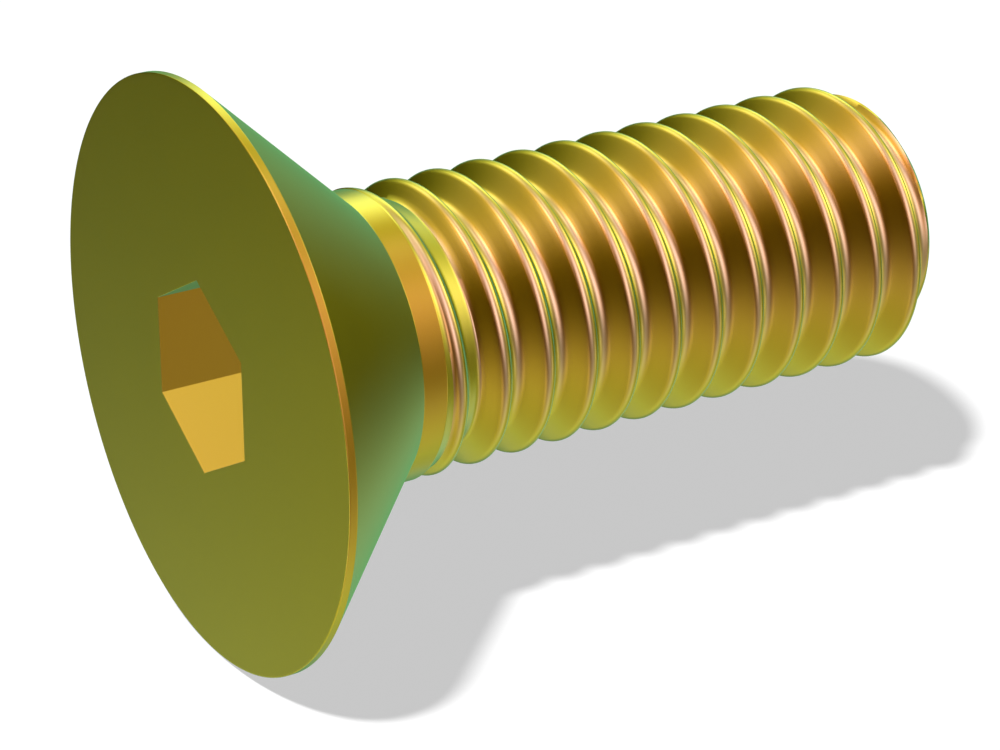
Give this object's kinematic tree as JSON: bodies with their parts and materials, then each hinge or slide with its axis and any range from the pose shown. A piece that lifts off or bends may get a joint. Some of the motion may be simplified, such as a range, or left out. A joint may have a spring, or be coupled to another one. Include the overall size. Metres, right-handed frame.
{
  "type": "countersunk socket screw",
  "caption": "Flat-headed countersunk screw with a hexagonal drive socket, a cone under the head, a short plain neck and a right-hand threaded shank with a chamfered tip.",
  "frame": {"origin": "centre of the flat face of the head, which the screw stands on", "axes": "+Z along the screw's axis, from the flat face of the head to the tip; two of the socket's flats face +X and -X"},
  "size_m": [0.0192, 0.0192, 0.0254],
  "materials": {
    "yellow_zinc": "turned and rolled steel, zinc plated and passivated to a yellow-gold shine"
  },
  "bodies": {
    "root": {"screw": "yellow_zinc"}
  },
  "joints": []
}
